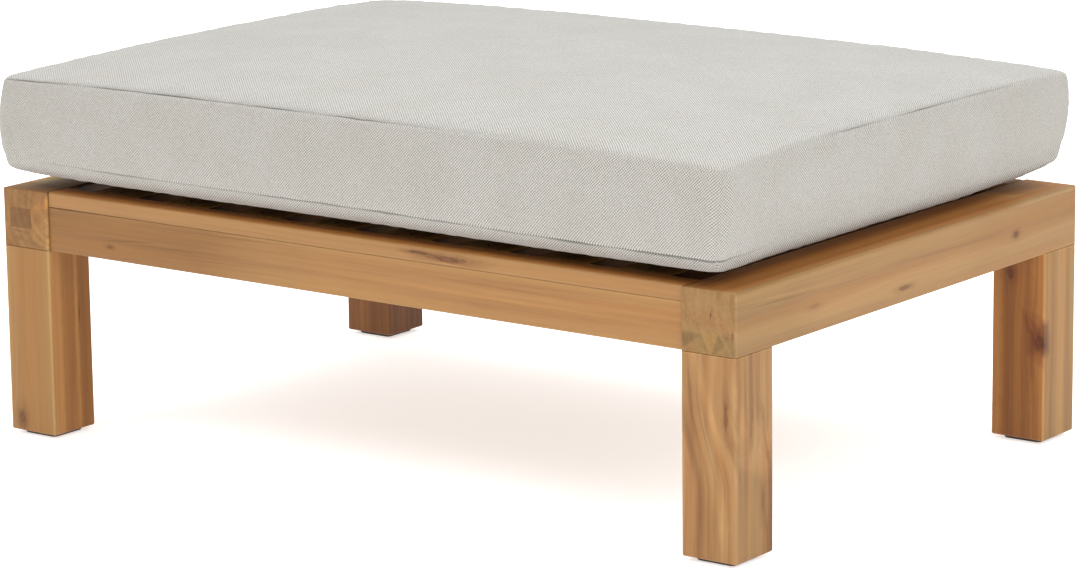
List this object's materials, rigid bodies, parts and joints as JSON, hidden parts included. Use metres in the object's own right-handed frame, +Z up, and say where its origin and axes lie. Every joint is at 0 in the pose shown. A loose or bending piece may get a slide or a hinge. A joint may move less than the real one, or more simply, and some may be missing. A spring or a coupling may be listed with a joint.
{
  "type": "outdoor ottoman footstool",
  "caption": "Low rectangular outdoor footstool: a solid wood frame with square legs and a slatted deck, under one loose thick box cushion.",
  "frame": {"origin": "on the floor, under the middle of the frame", "axes": "+X along the length towards the right end, +Y to the back where the cushion's zip is, +Z up"},
  "size_m": [1.05, 0.7283, 0.462],
  "materials": {
    "rail_wood": "oiled acacia, satin, long straight grain with knots",
    "leg_wood": "oiled acacia, satin, upright grain with knots",
    "deck_wood": "oiled acacia, matt",
    "glide_plastic": "black plastic, matt",
    "zinc_steel": "zinc plated",
    "stainless_steel": "plain stainless",
    "cover_fabric": "light grey and cream twill weave",
    "filling_foam": "foam block in a wadding wrap",
    "zip_chain": "woven zip with coil teeth",
    "zip_metal": "grey painted zip slider"
  },
  "bodies": {
    "frame": {"back_rail_lower_board": "rail_wood", "back_rail_top_strip": "rail_wood", "bracket_bolt_back_left_back": "stainless_steel", "bracket_bolt_back_left_side": "stainless_steel", "bracket_bolt_back_right_back": "stainless_steel", "bracket_bolt_back_right_side": "stainless_steel", "bracket_bolt_front_left_front": "stainless_steel", "bracket_bolt_front_left_side": "stainless_steel", "bracket_bolt_front_right_front": "stainless_steel", "bracket_bolt_front_right_side": "stainless_steel", "corner_bracket_back_left": "zinc_steel", "corner_bracket_back_right": "zinc_steel", "corner_bracket_front_left": "zinc_steel", "corner_bracket_front_right": "zinc_steel", "deck_slat_1": "deck_wood", "deck_slat_2": "deck_wood", "deck_slat_3": "deck_wood", "deck_slat_4": "deck_wood", "deck_slat_5": "deck_wood", "deck_slat_6": "deck_wood", "deck_slat_7": "deck_wood", "deck_slat_8": "deck_wood", "foot_glide_back_left": "glide_plastic", "foot_glide_back_right": "glide_plastic", "foot_glide_front_left": "glide_plastic", "foot_glide_front_right": "glide_plastic", "front_rail_lower_board": "rail_wood", "front_rail_top_strip": "rail_wood", "glide_screw_back_left": "zinc_steel", "glide_screw_back_right": "zinc_steel", "glide_screw_front_left": "zinc_steel", "glide_screw_front_right": "zinc_steel", "leg_back_left": "leg_wood", "leg_back_right": "leg_wood", "leg_front_left": "leg_wood", "leg_front_right": "leg_wood", "side_rail_left": "rail_wood", "side_rail_right": "rail_wood", "slat_screw_1_back": "stainless_steel", "slat_screw_1_front": "stainless_steel", "slat_screw_2_back": "stainless_steel", "slat_screw_2_front": "stainless_steel", "slat_screw_3_back": "stainless_steel", "slat_screw_3_front": "stainless_steel", "slat_screw_4_back": "stainless_steel", "slat_screw_4_front": "stainless_steel", "slat_screw_5_back": "stainless_steel", "slat_screw_5_front": "stainless_steel", "slat_screw_6_back": "stainless_steel", "slat_screw_6_front": "stainless_steel", "slat_screw_7_back": "stainless_steel", "slat_screw_7_front": "stainless_steel", "slat_screw_8_back": "stainless_steel", "slat_screw_8_front": "stainless_steel"},
    "cushion": {"cushion_cover": "cover_fabric", "cushion_filling": "filling_foam", "zip_chain": "zip_chain"},
    "zip_slider": {"zip_slider": "zip_metal", "zip_pull": "zip_metal"}
  },
  "joints": [
    {"name": "cushion_lift", "type": "slide", "parent": "frame", "child": "cushion", "axis": [0, 0, 1], "range_m": [0, 0.25]},
    {"name": "zip_slide", "type": "slide", "parent": "cushion", "child": "zip_slider", "axis": [-1, 0, 0], "range_m": [0, 0.496]}
  ]
}
